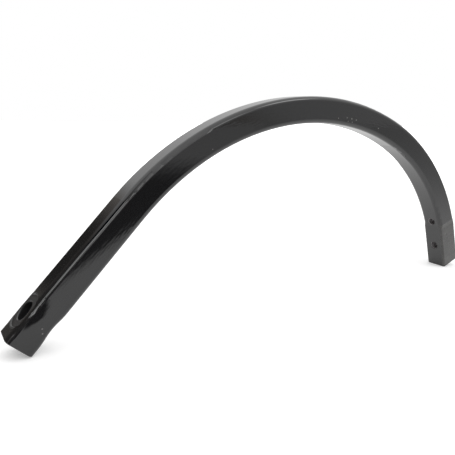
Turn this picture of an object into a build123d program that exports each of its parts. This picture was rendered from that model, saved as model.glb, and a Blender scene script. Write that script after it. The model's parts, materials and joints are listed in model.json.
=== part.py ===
from build123d import *
import os
from math import atan2, cos, degrees, pi, radians, sin, sqrt, tan

# Cultivator tine, in millimetres: one round-cornered square bar of spring steel, straight at the shank,
# bent through a long C to a short pressed tip, with a bolt eye in the shank and two share holes in the tip.
# It stands as an arch on the inner edges of its two ends. Z is up and X runs from the shank to the tip.

# The bar
bar = 35.0
bar_corner = 6.0

# The centreline, walked from the shank's end
shank_length = 183.5
main_bend_radius, main_bend_angle = 354.0, 72.8
lower_bend_radius, lower_bend_angle = 279.5, 41.8
shoulder_radius, shoulder_angle = 60.0, 6.9
tip_length = 70.0

# The tip: pressed a little narrower and sharper-cornered for the share, and sheared out of square
tip_width = 33.8
tip_corner = 3.0
shear_angle = 5.0

# The eye: a hole for an M20 bolt, and a seat for its washer coined into the outer face
eye_from_end = 33.0
eye_hole = 22.0
seat_diameter, seat_depth = 38.0, 1.0

# Punching the eye bowed the sides out, most a little above mid-depth, and drew the inner face in
swell, swell_length = 2.0, 50.0
swell_height, swell_reach = 3.0, 14.5
draw_in, draw_in_length = 2.0, 44.0
eye_sections = 11

# Share holes, for 7/16 in share bolts at 1 3/4 in centres
share_hole = 12.0
share_hole_from_end = 36.0
share_hole_pitch = 44.5

edge_break = 0.8
half = bar / 2
eye_start = eye_from_end - swell_length / 2
eye_finish = eye_from_end + swell_length / 2


def bends(plane):
    """The bar's centreline from behind the eye to the shoulder, on the given plane."""
    with BuildLine(plane) as line:
        shank = Line((eye_finish, 0), (shank_length, 0))
        main = JernArc(shank @ 1, shank % 1, main_bend_radius, -main_bend_angle)
        JernArc(main @ 1, main % 1, lower_bend_radius, -lower_bend_angle)
    return line.wire()


def shoulder(before, plane):
    """The short bend that follows on from the line before it and turns into the straight tip."""
    with BuildLine(plane) as line:
        JernArc(before @ 1, before % 1, shoulder_radius, -shoulder_angle)
    return line.wire()


def across(point, direction):
    """A plane square to the bar: X is across the bar and Y points to the outside of the bend."""
    return Plane(origin=point, x_dir=(0, 1, 0), z_dir=direction)


def fading(most, length, offset):
    """A form at its most at the eye's centre, fading smoothly to nothing over the given length."""
    return most * cos(pi * offset / length) ** 2 if abs(offset) < length / 2 else 0.0


def eye_section(plane, bow, dip):
    """The bar's section with its sides bowed out and its inner face drawn in, on the given plane."""
    low = dip - half
    with BuildSketch(plane) as section:
        with BuildLine():
            if bow:
                side_radius = (swell_reach**2 + bow**2) / (2 * bow)
                side_x = half + bow - side_radius
                inside = side_radius - bar_corner
                top_rise = half - bar_corner - swell_height
                low_rise = low + bar_corner - swell_height
                top_x = side_x + sqrt(inside**2 - top_rise**2)
                low_x = side_x + sqrt(inside**2 - low_rise**2)
                top_angle = degrees(atan2(top_rise, top_x - side_x))
                low_angle = degrees(atan2(low_rise, low_x - side_x))
                CenterArc((side_x, swell_height), side_radius, top_angle, low_angle - top_angle)
            else:
                top_x = low_x = half - bar_corner
                top_angle = low_angle = 0.0
                Line((half, half - bar_corner), (half, low + bar_corner))
            CenterArc((top_x, half - bar_corner), bar_corner, 90, top_angle - 90)
            CenterArc((low_x, low + bar_corner), bar_corner, low_angle, -90 - low_angle)
            Line((0, half), (top_x, half))
            Line((low_x, low), (0, low))
            mirror(about=Plane.YZ)
        make_face()
    return section.sketch


def turned_over(plane):
    """The same place seen from the other side, with the same X."""
    return Plane(origin=plane.origin, x_dir=plane.x_dir, z_dir=-plane.z_dir)


# In the shank's own axes, find the corners of the two cut ends. The bends are then turned so that the
# broken inner edges stand level on the floor, with the overall length centred on X = 0
flat_shoulder = shoulder(bends(Plane.XY), Plane.XY)
flat_direction = flat_shoulder % 1
flat_outward = flat_direction.rotate(Axis.Z, 90)
flat_end = flat_shoulder @ 1 + flat_direction * tip_length
up_the_cut = (flat_outward - flat_direction * tan(radians(shear_angle))) * half
heel_foot = Vector(0, edge_break - half)
toe_foot = flat_end - up_the_cut + up_the_cut.normalized() * edge_break
heel_back = Vector(edge_break, half)
toe_front = flat_end + up_the_cut - flat_direction * edge_break
chord = (toe_foot - heel_foot).normalized()
rise = -atan2(chord.Y, chord.X)
middle = ((heel_back + toe_front) / 2).dot(chord)
floor = heel_foot.dot(chord.rotate(Axis.Z, 90))
standing = Plane(origin=(-middle, 0, -floor), x_dir=(cos(rise), 0, sin(rise)), z_dir=(0, -1, 0))

# The eye's outer face, with X along the shank
eye_centre = standing.from_local_coords((eye_from_end, 0, 0))
eye_face = Plane(origin=eye_centre + standing.y_dir * half, x_dir=standing.x_dir, z_dir=standing.y_dir)
eye_profile = Plane(origin=eye_face.origin, x_dir=eye_face.x_dir, z_dir=-eye_face.y_dir)

# The bends and the shoulder, standing, and the tip that runs on from them
bend_line = bends(standing)
shoulder_line = shoulder(bend_line, standing)
tip_start = across(shoulder_line @ 1, shoulder_line % 1)
tip_end = tip_start.offset(tip_length)
tip_middle = Plane(origin=tip_start.origin, x_dir=tip_start.z_dir, z_dir=tip_start.y_dir)
sheared_end = Plane(
    origin=tip_end.origin,
    z_dir=tip_end.z_dir * cos(radians(shear_angle)) + tip_end.y_dir * sin(radians(shear_angle)),
)

# The upper share hole is past the shoulder, where the bar has turned aside from the tip's line
past_tip = share_hole_from_end + share_hole_pitch - tip_length
turn = radians(shoulder_angle)
turned_aside = shoulder_radius * (1 - cos(turn)) + (past_tip - shoulder_radius * sin(turn)) * tan(turn)
share_holes = [(tip_length - share_hole_from_end, 0), (-past_tip, turned_aside)]

with BuildPart() as tine:
    # The shank's end
    with BuildSketch(across(standing.origin, standing.x_dir)):
        RectangleRounded(bar, bar, bar_corner)
    extrude(amount=eye_start)

    # The eye, through sections along the shank
    sections = []
    for step in range(eye_sections):
        offset = swell_length * (step / (eye_sections - 1) - 0.5)
        bow = fading(swell, swell_length, offset)
        dip = fading(draw_in, draw_in_length, offset)
        at_step = standing.from_local_coords((eye_from_end + offset, 0, 0))
        sections.append(eye_section(across(at_step, standing.x_dir), bow, dip))
    loft(sections=sections)

    # The bar, from the eye to the shoulder
    with BuildSketch(across(bend_line @ 0, bend_line % 0)):
        RectangleRounded(bar, bar, bar_corner)
    sweep(path=bend_line)

    # The shoulder, where the bar is pressed to the tip's section as it turns
    with BuildSketch(across(shoulder_line @ 0, shoulder_line % 0)):
        RectangleRounded(bar, bar, bar_corner)
    with BuildSketch(tip_start):
        RectangleRounded(tip_width, bar, tip_corner)
    sweep(path=shoulder_line, multisection=True)

    # The tip, with its sheared end
    with BuildSketch(tip_start):
        RectangleRounded(tip_width, bar, tip_corner)
    extrude(amount=tip_length + bar * tan(radians(shear_angle)))
    split(bisect_by=sheared_end, keep=Keep.BOTTOM)

    # The washer seat and the bolt hole, turned from one profile
    with BuildSketch(eye_profile):
        with BuildLine():
            Polyline(
                (0, edge_break),
                (seat_diameter / 2 + 2 * edge_break, edge_break),
                (seat_diameter / 2, -seat_depth),
                (eye_hole / 2 + edge_break, -seat_depth),
                (eye_hole / 2, -seat_depth - edge_break),
                (eye_hole / 2, -2 * bar),
                (0, -2 * bar),
                close=True,
            )
        make_face()
    revolve(axis=Axis(eye_profile.origin, eye_profile.y_dir), mode=Mode.SUBTRACT)

    # The edges of the two cut ends, broken
    heel_end = tine.faces().sort_by_distance(standing.origin)[0]
    toe_end = tine.faces().sort_by_distance(tip_end.origin)[0]
    chamfer(heel_end.edges() + toe_end.edges(), edge_break)

    # The share holes, with both mouths broken
    for along_tip, aside in share_holes:
        mouths = tip_middle.offset(half - aside), turned_over(tip_middle.offset(-half - aside))
        with Locations(tip_middle):
            with Locations((along_tip, 0)):
                Cylinder(share_hole / 2, 2 * bar, mode=Mode.SUBTRACT)
        with Locations(*mouths):
            with Locations((along_tip, 0)):
                Cone(share_hole / 2, share_hole / 2 + 2 * edge_break, 2 * edge_break, mode=Mode.SUBTRACT)

    # The bolt hole's inner mouth, broken at the bottom of the dip
    with Locations(turned_over(eye_face.offset(draw_in - bar))):
        Cone(eye_hole / 2, eye_hole / 2 + 2 * edge_break, 2 * edge_break, mode=Mode.SUBTRACT)

tine.part.label = "tine"
os.makedirs("parts", exist_ok=True)
export_step(tine.part, "parts/tine.step")
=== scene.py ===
import json
import math

import bpy
from mathutils import Euler, Matrix, Vector

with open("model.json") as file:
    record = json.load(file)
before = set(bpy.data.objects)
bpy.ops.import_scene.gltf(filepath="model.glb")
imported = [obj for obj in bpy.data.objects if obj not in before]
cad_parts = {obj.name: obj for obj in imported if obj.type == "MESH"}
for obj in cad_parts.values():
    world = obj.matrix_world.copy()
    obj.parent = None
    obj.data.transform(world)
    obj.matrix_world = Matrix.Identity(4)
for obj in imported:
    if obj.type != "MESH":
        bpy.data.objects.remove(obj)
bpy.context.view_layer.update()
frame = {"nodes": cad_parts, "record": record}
scene = bpy.context.scene
scene.view_settings.view_transform = "Standard"

# The tine as it stands, with the shank's end at the left and the tip at the right
tine = frame["nodes"]["tine"]
mounts = {mount["name"]: mount for mount in frame["record"]["mounts"]}

# The bar's places, in metres, worked out from its mounts
across = Vector((0, 1, 0))
half_bar, bar_corner = 0.0175, 0.006
side_flat = half_bar - bar_corner
shank_face_from_end = 0.12
share_hole_from_end = 0.036

bolt_at = Vector(mounts["shank_bolt"]["pos_m"])
bolt_axis = Vector(mounts["shank_bolt"]["axis"])
shank_direction = across.cross(bolt_axis)
shank_face_at = Vector(mounts["shank_face"]["pos_m"])
shank_end = shank_face_at - shank_direction * shank_face_from_end + bolt_axis * half_bar
eye_from_end = (bolt_at - shank_end).dot(shank_direction)

share_holes = [Vector(mounts[name]["pos_m"]) for name in ("share_bolt_lower", "share_bolt_upper")]
share_axis = Vector(mounts["share_bolt_lower"]["axis"])
tip_direction = share_axis.cross(across)
tip_end = share_holes[0] + tip_direction * share_hole_from_end

# The centreline: the straight shank, then each bend's radius and its angle in degrees
shank_length = 0.1835
bends = ((0.354, 72.8), (0.2795, 41.8))

# A small dent in the near side of the tip
dent_from_end, dent_inward, dent_aside = 0.0564, 0.006, -0.0169
dent_at = tip_end - tip_direction * dent_from_end + share_axis * dent_inward + across * dent_aside
dent_radius = 0.003
dent_depth = 0.0004

# Specks on the near side: millimetres along, millimetres out from the centreline, size
specks = (
    (508, -9, 0.9),
    (524, -6.5, 1.0),
    (533, -6.5, 1.3),
    (542, -6.5, 1.3),
    (535, -11, 0.9),
    (527, -11, 0.8),
    (589, -6.5, 1.0),
    (302, -8, 0.8),
    (30, -4, 1.0),
    (26, -8, 1.0),
)

# The paint in linear colour: the gloss black, the mottled dull patch, painted lighter as a painted sheen,
# the specks and the share holes' walls, painted light grey as painted light inside the holes
black = (0.0065, 0.0065, 0.007, 1)
dull_sheen_black = (0.014, 0.013, 0.012, 1)
dull_sheen_grey = (0.034, 0.033, 0.031, 1)
speck_grey = (0.16, 0.155, 0.15, 1)
painted_hole_light = (0.22, 0.21, 0.215, 1)
gloss_roughness = 0.05
dull_roughness = (0.22, 0.34)
seat_roughness = 0.35
share_roughness = 0.55


# Node tools

def feed(tree, socket, value):
    """Gives a socket its value, or links another node's output to it."""
    if isinstance(value, bpy.types.NodeSocket):
        tree.links.new(value, socket)
    else:
        socket.default_value = value


def add_node(tree, kind, inputs=None, **settings):
    """A node with its settings and its inputs: each a value, or another node's output."""
    node = tree.nodes.new(kind)
    for name, value in settings.items():
        setattr(node, name, value)
    for name, value in (inputs or {}).items():
        feed(tree, node.inputs[name], value)
    return node


def new_group(name, inputs, outputs):
    """An empty node group with named inputs, each with its default, and named outputs."""
    tree = bpy.data.node_groups.new(name, "ShaderNodeTree")
    for socket, (kind, default) in inputs.items():
        made = tree.interface.new_socket(socket, in_out="INPUT", socket_type=kind)
        if default is not None:
            made.default_value = default
    for socket, kind in outputs.items():
        tree.interface.new_socket(socket, in_out="OUTPUT", socket_type=kind)
    return tree, tree.nodes.new("NodeGroupInput"), tree.nodes.new("NodeGroupOutput")


def group_node(tree, group, inputs):
    """A node group placed in a tree, with its own values."""
    return add_node(tree, "ShaderNodeGroup", inputs, node_tree=group)


def maths(tree, operation, *values):
    """The result of one operation on numbers."""
    return add_node(tree, "ShaderNodeMath", dict(enumerate(values)), operation=operation).outputs[0]


def vector_maths(tree, operation, *vectors):
    """A node for one operation on vectors, with a Vector and a Value output."""
    return add_node(tree, "ShaderNodeVectorMath", dict(enumerate(vectors)), operation=operation)


def dot(tree, vector, direction):
    """How far a position or direction reaches along another."""
    return vector_maths(tree, "DOT_PRODUCT", vector, direction).outputs["Value"]


def distance(tree, position, point):
    return vector_maths(tree, "DISTANCE", position, point).outputs["Value"]


def length(tree, vector):
    return vector_maths(tree, "LENGTH", vector).outputs["Value"]


def hypotenuse(tree, one, other):
    """The length across two distances at right angles."""
    squares = [maths(tree, "MULTIPLY", side, side) for side in (one, other)]
    return maths(tree, "SQRT", maths(tree, "ADD", *squares))


def ramp(tree, value, start, end, low=0.0, high=1.0, smooth=True):
    """A value mapped from start..end to low..high, and held at the ends."""
    inputs = {"Value": value, "From Min": start, "From Max": end, "To Min": low, "To Max": high}
    shape = "SMOOTHSTEP" if smooth else "LINEAR"
    return add_node(tree, "ShaderNodeMapRange", inputs, interpolation_type=shape).outputs["Result"]


def blend(tree, share, low, high):
    """Low where share is 0, high where it is 1."""
    return maths(tree, "MULTIPLY_ADD", maths(tree, "SUBTRACT", high, low), share, low)


def tinted(tree, share, low, high):
    """A colour between two others."""
    inputs = {"Factor": share, "A": low, "B": high}
    return add_node(tree, "ShaderNodeMix", inputs, data_type="RGBA").outputs["Result"]


def noise(tree, vector, size, detail=0.0):
    """Smooth noise from 0 to 1, with features of the given size."""
    scale = maths(tree, "DIVIDE", 1.0, size)
    inputs = {"Vector": vector, "Scale": scale, "Detail": detail, "Roughness": 0.45}
    return add_node(tree, "ShaderNodeTexNoise", inputs).outputs["Fac"]


# Node groups of the paint

def along_bar_group():
    """How far along the bar a place is, and how far out from the centreline, in metres."""
    tree, given, out = new_group(
        "along_bar",
        {"Position": ("NodeSocketVector", None)},
        {"Along": "NodeSocketFloat", "Out": "NodeSocketFloat"},
    )
    position = given.outputs["Position"]
    forward, outward = shank_direction, bolt_axis
    along = maths(tree, "SUBTRACT", dot(tree, position, forward), shank_end.dot(forward))
    out_by = maths(tree, "SUBTRACT", dot(tree, position, outward), shank_end.dot(outward))
    start, walked = shank_end + forward * shank_length, shank_length
    for radius, angle in bends:
        centre = start - outward * radius
        ahead = maths(tree, "SUBTRACT", dot(tree, position, forward), centre.dot(forward))
        outside = maths(tree, "SUBTRACT", dot(tree, position, outward), centre.dot(outward))
        turned = maths(tree, "ARCTAN2", ahead, outside)
        past = maths(tree, "GREATER_THAN", turned, 0.0)
        from_centre = hypotenuse(tree, ahead, outside)
        along = blend(tree, past, along, maths(tree, "MULTIPLY_ADD", turned, radius, walked))
        out_by = blend(tree, past, out_by, maths(tree, "SUBTRACT", from_centre, radius))
        walked += radius * math.radians(angle)
        turn = Matrix.Rotation(math.radians(angle), 3, "Y")
        forward, outward = turn @ forward, turn @ outward
        start = centre + outward * radius
    tree.links.new(along, out.inputs["Along"])
    tree.links.new(out_by, out.inputs["Out"])
    return tree


along_bar = along_bar_group()


def drawn_along(tree, position, stretch):
    """A place in the bar's own axes, for a texture that is drawn out along the bar."""
    bar_place = group_node(tree, along_bar, {"Position": position})
    along = maths(tree, "DIVIDE", bar_place.outputs["Along"], stretch)
    place = {"X": along, "Y": dot(tree, position, across), "Z": bar_place.outputs["Out"]}
    return add_node(tree, "ShaderNodeCombineXYZ", place).outputs[0]


def near_axis(tree, position, point, direction, radius, fade=0.0002):
    """1 inside a round hole's radius about its axis, fading to 0 just outside it."""
    beside = vector_maths(tree, "SUBTRACT", position, point).outputs["Vector"]
    crossed = vector_maths(tree, "CROSS_PRODUCT", beside, direction).outputs["Vector"]
    return ramp(tree, length(tree, crossed), radius, maths(tree, "ADD", radius, fade), 1.0, 0.0)


def eye_bulge_group():
    """How the near-flat upper part of both sides leans back beside the eye, as a height in metres."""
    tree, given, out = new_group(
        "eye_bulge",
        {
            "Position": ("NodeSocketVector", None),
            "Lean": ("NodeSocketFloat", 0.036),
            "Crest": ("NodeSocketFloat", 0.001),
            "Half Length": ("NodeSocketFloat", 0.026),
        },
        {"Height": "NodeSocketFloat"},
    )
    bar_place = group_node(tree, along_bar, {"Position": given.outputs["Position"]})
    crest, half_length = given.outputs["Crest"], given.outputs["Half Length"]
    above = maths(tree, "MAXIMUM", bar_place.outputs["Out"], crest)
    above = maths(tree, "SUBTRACT", maths(tree, "MINIMUM", above, side_flat), crest)
    from_eye = maths(tree, "SUBTRACT", bar_place.outputs["Along"], eye_from_end)
    from_eye = maths(tree, "ABSOLUTE", from_eye)
    full_to = maths(tree, "MULTIPLY", half_length, 0.25)
    beside_eye = ramp(tree, from_eye, full_to, half_length, 1.0, 0.0)
    fall = maths(tree, "MULTIPLY", above, maths(tree, "MULTIPLY", given.outputs["Lean"], -1.0))
    tree.links.new(maths(tree, "MULTIPLY", fall, beside_eye), out.inputs["Height"])
    return tree


def specks_group():
    """Small pale specks in the paint of the near side, each a place along and out from the centreline."""
    near_side = -0.012
    tree, given, out = new_group(
        "specks",
        {"Position": ("NodeSocketVector", None), "Radius": ("NodeSocketFloat", 0.0013)},
        {"Mask": "NodeSocketFloat"},
    )
    position, radius = given.outputs["Position"], given.outputs["Radius"]
    bar_place = group_node(tree, along_bar, {"Position": position})
    marks = 0.0
    for along, out_by, size in specks:
        along_by = maths(tree, "SUBTRACT", bar_place.outputs["Along"], along / 1000)
        outward_by = maths(tree, "SUBTRACT", bar_place.outputs["Out"], out_by / 1000)
        away = hypotenuse(tree, along_by, outward_by)
        mark = ramp(tree, away, 0.0, maths(tree, "MULTIPLY", radius, size), 1.0, 0.0)
        marks = maths(tree, "MAXIMUM", mark, marks)
    on_near_side = maths(tree, "LESS_THAN", dot(tree, position, across), near_side)
    tree.links.new(maths(tree, "MULTIPLY", marks, on_near_side), out.inputs["Mask"])
    return tree


def orange_peel_group():
    """The paint's orange peel, drawn out along the bar, over longer waves, as a height in metres."""
    stretch = 3.0
    tree, given, out = new_group(
        "orange_peel",
        {
            "Position": ("NodeSocketVector", None),
            "Peel Size": ("NodeSocketFloat", 0.0025),
            "Peel Depth": ("NodeSocketFloat", 0.00002),
            "Wave Size": ("NodeSocketFloat", 0.03),
            "Wave Depth": ("NodeSocketFloat", 0.00007),
        },
        {"Height": "NodeSocketFloat"},
    )
    place = drawn_along(tree, given.outputs["Position"], stretch)
    height = 0.0
    for size, depth in (("Peel Size", "Peel Depth"), ("Wave Size", "Wave Depth")):
        centred = maths(tree, "SUBTRACT", noise(tree, place, given.outputs[size]), 0.5)
        height = maths(tree, "MULTIPLY_ADD", centred, given.outputs[depth], height)
    tree.links.new(height, out.inputs["Height"])
    return tree


def hole_walls_group():
    """Masks of the washer seat with its bolt hole, and of the share holes' walls, where light inside the
    holes is painted.
    """
    inside_sides = (0.012, 0.0145)
    tree, given, out = new_group(
        "hole_walls",
        {
            "Position": ("NodeSocketVector", None),
            "Seat": ("NodeSocketFloat", 0.0215),
            "Share Hole": ("NodeSocketFloat", 0.0063),
        },
        {"Seat": "NodeSocketFloat", "Share": "NodeSocketFloat"},
    )
    position = given.outputs["Position"]
    seat = near_axis(tree, position, bolt_at, bolt_axis, given.outputs["Seat"])
    aside = maths(tree, "ABSOLUTE", dot(tree, position, across))
    inboard = ramp(tree, aside, *inside_sides, 1.0, 0.0)
    tree.links.new(maths(tree, "MULTIPLY", seat, inboard), out.inputs["Seat"])
    walls = 0.0
    for hole in share_holes:
        wall = near_axis(tree, position, hole, share_axis, given.outputs["Share Hole"])
        walls = maths(tree, "MAXIMUM", wall, walls)
    tree.links.new(walls, out.inputs["Share"])
    return tree


def tip_patch_group():
    """Where the pressed sides of the tip are duller and painted lighter as a painted sheen: from a ragged
    line across them to the end.
    """
    wander_size, wander_detail = 0.012, 2.0
    line_softness = 0.0015
    sides = (0.0125, 0.0145)
    tree, given, out = new_group(
        "tip_patch",
        {
            "Position": ("NodeSocketVector", None),
            "Length": ("NodeSocketFloat", 0.077),
            "Ragged": ("NodeSocketFloat", 0.003),
        },
        {"Mask": "NodeSocketFloat"},
    )
    position = given.outputs["Position"]
    from_end = maths(tree, "SUBTRACT", tip_end.dot(tip_direction), dot(tree, position, tip_direction))
    wander = maths(tree, "SUBTRACT", noise(tree, position, wander_size, wander_detail), 0.5)
    from_end = maths(tree, "MULTIPLY_ADD", wander, given.outputs["Ragged"], from_end)
    inside = maths(tree, "SUBTRACT", given.outputs["Length"], from_end)
    aside = maths(tree, "ABSOLUTE", dot(tree, position, across))
    on_sides = ramp(tree, aside, *sides)
    mask = maths(tree, "MULTIPLY", ramp(tree, inside, 0.0, line_softness), on_sides)
    tree.links.new(mask, out.inputs["Mask"])
    return tree


def gloss_black_paint():
    """Gloss black paint with orange peel and a few specks, duller on the tip's sides, with a painted sheen
    there, and in the holes, whose walls carry painted light.
    """
    mottle_size, mottle_detail = 0.012, 1.0
    material = bpy.data.materials.new("gloss_black_paint")
    material.use_nodes = True
    tree = material.node_tree
    tree.nodes.clear()
    position = add_node(tree, "ShaderNodeTexCoord").outputs["Object"]

    peel_values = {"Peel Size": 0.0025, "Peel Depth": 0.00002, "Wave Size": 0.03, "Wave Depth": 0.00007}
    peel = group_node(tree, orange_peel_group(), {"Position": position, **peel_values})
    bulge_values = {"Lean": 0.036, "Crest": 0.001, "Half Length": 0.026}
    bulge = group_node(tree, eye_bulge_group(), {"Position": position, **bulge_values})
    dent = ramp(tree, distance(tree, position, dent_at), 0.0, dent_radius, -dent_depth, 0.0)
    height = maths(tree, "ADD", peel.outputs["Height"], bulge.outputs["Height"])
    height = maths(tree, "ADD", height, dent)
    bump = add_node(tree, "ShaderNodeBump", {"Height": height, "Distance": 1.0, "Strength": 1.0})

    specked = group_node(tree, specks_group(), {"Position": position, "Radius": 0.0013}).outputs["Mask"]
    patch_values = {"Length": 0.077, "Ragged": 0.003}
    dull_sheen = group_node(tree, tip_patch_group(), {"Position": position, **patch_values}).outputs["Mask"]
    wall_values = {"Seat": 0.0215, "Share Hole": 0.0063}
    walls = group_node(tree, hole_walls_group(), {"Position": position, **wall_values})
    mottle = ramp(tree, noise(tree, position, mottle_size, mottle_detail), 0.35, 0.65)

    # On the tip's pressed sides the paint is duller and a mottled lighter grey: a painted sheen
    colour = tinted(tree, dull_sheen, black, tinted(tree, mottle, dull_sheen_black, dull_sheen_grey))
    colour = tinted(tree, specked, colour, speck_grey)
    # The share holes' walls are painted light grey: painted light inside the holes
    colour = tinted(tree, walls.outputs["Share"], colour, painted_hole_light)
    roughness = blend(tree, dull_sheen, gloss_roughness, blend(tree, mottle, *dull_roughness))
    seat_or_speck = maths(tree, "MAXIMUM", walls.outputs["Seat"], specked)
    roughness = blend(tree, seat_or_speck, roughness, seat_roughness)
    roughness = blend(tree, walls.outputs["Share"], roughness, share_roughness)

    surface = {"Base Color": colour, "Roughness": roughness, "IOR": 1.6, "Normal": bump.outputs["Normal"]}
    shader = add_node(tree, "ShaderNodeBsdfPrincipled", surface)
    add_node(tree, "ShaderNodeOutputMaterial", {"Surface": shader.outputs["BSDF"]})
    return material


tine.material_slots[0].material = gloss_black_paint()


# The studio: a white sheet whose front edge gives way to a dark floor, and a bright room, dark low at
# the left. It has no lamps: the room and the floor light the tine

def white_sheet():
    """White to the camera, with the tine's shadow. In reflections it carries a painted pool of light about
    the tine and a glow, and is dark past the sheet's front edge.
    """
    lit_most_at, lit_reach = (0.3, 0.12, 0), 0.8
    lit_far, lit_extra = 0.5, 0.85
    frontward, front_edge = (-0.8, -0.6, 0), (0.335, 0.365)
    dark_reach, dark_levels = (1.1, 2.2), (0.05, 0.6)
    seen_reach, seen_levels = (0.8, 2.5), (0.3, 0.8)
    albedo_seen, albedo_mirrored, glow_mirrored = 0.8, 0.65, 0.3

    material = bpy.data.materials.new("white_sheet")
    material.use_nodes = True
    tree = material.node_tree
    tree.nodes.clear()
    position = add_node(tree, "ShaderNodeTexCoord").outputs["Object"]
    rays = add_node(tree, "ShaderNodeLightPath")
    reach = length(tree, position)

    # A painted pool of light about the tine, seen in reflections only
    from_light = maths(tree, "DIVIDE", distance(tree, position, lit_most_at), lit_reach)
    fall = maths(tree, "ADD", 1.0, maths(tree, "POWER", from_light, 2.0))
    lit = maths(tree, "ADD", lit_far, maths(tree, "DIVIDE", lit_extra, fall))
    off_sheet = ramp(tree, dot(tree, position, frontward), *front_edge)
    mirrored = blend(tree, off_sheet, lit, ramp(tree, reach, *dark_reach, *dark_levels))

    glossy = maths(tree, "MAXIMUM", rays.outputs["Is Glossy Ray"], rays.outputs["Is Transmission Ray"])
    albedo = blend(tree, glossy, albedo_seen, maths(tree, "MULTIPLY", mirrored, albedo_mirrored))
    seen = ramp(tree, reach, *seen_reach, *seen_levels)
    seen = maths(tree, "MULTIPLY", rays.outputs["Is Camera Ray"], seen)
    glow = maths(tree, "MULTIPLY_ADD", maths(tree, "MULTIPLY", mirrored, glow_mirrored), glossy, seen)

    grey = add_node(tree, "ShaderNodeCombineColor", {"Red": albedo, "Green": albedo, "Blue": albedo})
    matt = add_node(tree, "ShaderNodeBsdfDiffuse", {"Color": grey.outputs["Color"]})
    glowing = add_node(tree, "ShaderNodeEmission", {"Color": (1, 1, 1, 1), "Strength": glow})
    both = add_node(tree, "ShaderNodeAddShader", {0: matt.outputs[0], 1: glowing.outputs[0]})
    add_node(tree, "ShaderNodeOutputMaterial", {"Surface": both.outputs[0]})
    return material


def floor_plane(reach):
    """A square floor at Z = 0, reaching this far each way from the middle."""
    corners = [(-reach, -reach, 0), (reach, -reach, 0), (reach, reach, 0), (-reach, reach, 0)]
    mesh = bpy.data.meshes.new("floor")
    mesh.from_pydata(corners, [], [(0, 1, 2, 3)])
    mesh.materials.append(white_sheet())
    plane = bpy.data.objects.new("floor", mesh)
    scene.collection.objects.link(plane)


floor_plane(8.0)

# Soft boxes in the room: azimuth, elevation and radius in degrees, and the light that each adds.
# One that takes light away is a dark panel
softboxes = (
    (-138, 25, 9, 2.6),
    (-157, 19, 11, 3.4),
    (-178, 10, 11, 1.8),
    (174, 5, 10, 1.6),
    (163, 28, 12, 1.6),
    (137, 42, 12, 3.2),
    (-140, 46, 20, -0.6),
    (-17, 12, 6, -0.11),
    (100, 8, 30, -0.15),
)


def towards(azimuth, elevation):
    """A direction from its azimuth, from +Y towards +X, and its elevation, in degrees."""
    azimuth, elevation = math.radians(azimuth), math.radians(elevation)
    level = math.cos(elevation)
    return (math.sin(azimuth) * level, math.cos(azimuth) * level, math.sin(elevation))


def studio_world():
    """The room, brighter overhead and dark low at the left, with its soft boxes. White to the camera."""
    room_heights, room_levels = (0.12, 0.8), (0.72, 1.5)
    bright_side, dark_edge, dark_level = (0.53, 0.05, 0.84), (0.15, 0.3), 0.16
    soft_core = 0.4
    warm, white, warm_levels = (1.0, 0.93, 0.86, 1), (1, 1, 1, 1), (0.3, 0.7)

    world = bpy.data.worlds.new("studio")
    scene.world = world
    world.use_nodes = True
    tree = world.node_tree
    tree.nodes.clear()
    to_camera = add_node(tree, "ShaderNodeLightPath").outputs["Is Camera Ray"]
    direction = add_node(tree, "ShaderNodeTexCoord").outputs["Generated"]
    height = dot(tree, direction, (0, 0, 1))
    open_room = ramp(tree, height, *room_heights, *room_levels, smooth=False)
    level = blend(tree, ramp(tree, dot(tree, direction, bright_side), *dark_edge), dark_level, open_room)
    for azimuth, elevation, radius, strength in softboxes:
        facing = dot(tree, direction, towards(azimuth, elevation))
        edge, core = math.cos(math.radians(radius)), math.cos(math.radians(radius * soft_core))
        level = maths(tree, "ADD", level, ramp(tree, facing, edge, core, 0.0, strength))
    level = blend(tree, to_camera, level, 1.0)
    whiteness = maths(tree, "MAXIMUM", ramp(tree, level, *warm_levels), to_camera)
    room_light = {"Color": tinted(tree, whiteness, warm, white), "Strength": level}
    background = add_node(tree, "ShaderNodeBackground", room_light)
    add_node(tree, "ShaderNodeOutputWorld", {"Surface": background.outputs[0]})


studio_world()

# The camera, at the photograph's viewing angle
lens = bpy.data.cameras.new("camera")
lens.lens = 40.62
lens.sensor_width = 36.0
lens.shift_x = -0.0286
lens.shift_y = -0.0492
lens.clip_start = 0.01
camera = bpy.data.objects.new("camera", lens)
camera.location = (-0.42214, -0.54476, 0.25729)
camera.rotation_euler = Euler([math.radians(angle) for angle in (79.4657, -1.3271, -32.1345)], "XYZ")
scene.collection.objects.link(camera)
scene.camera = camera
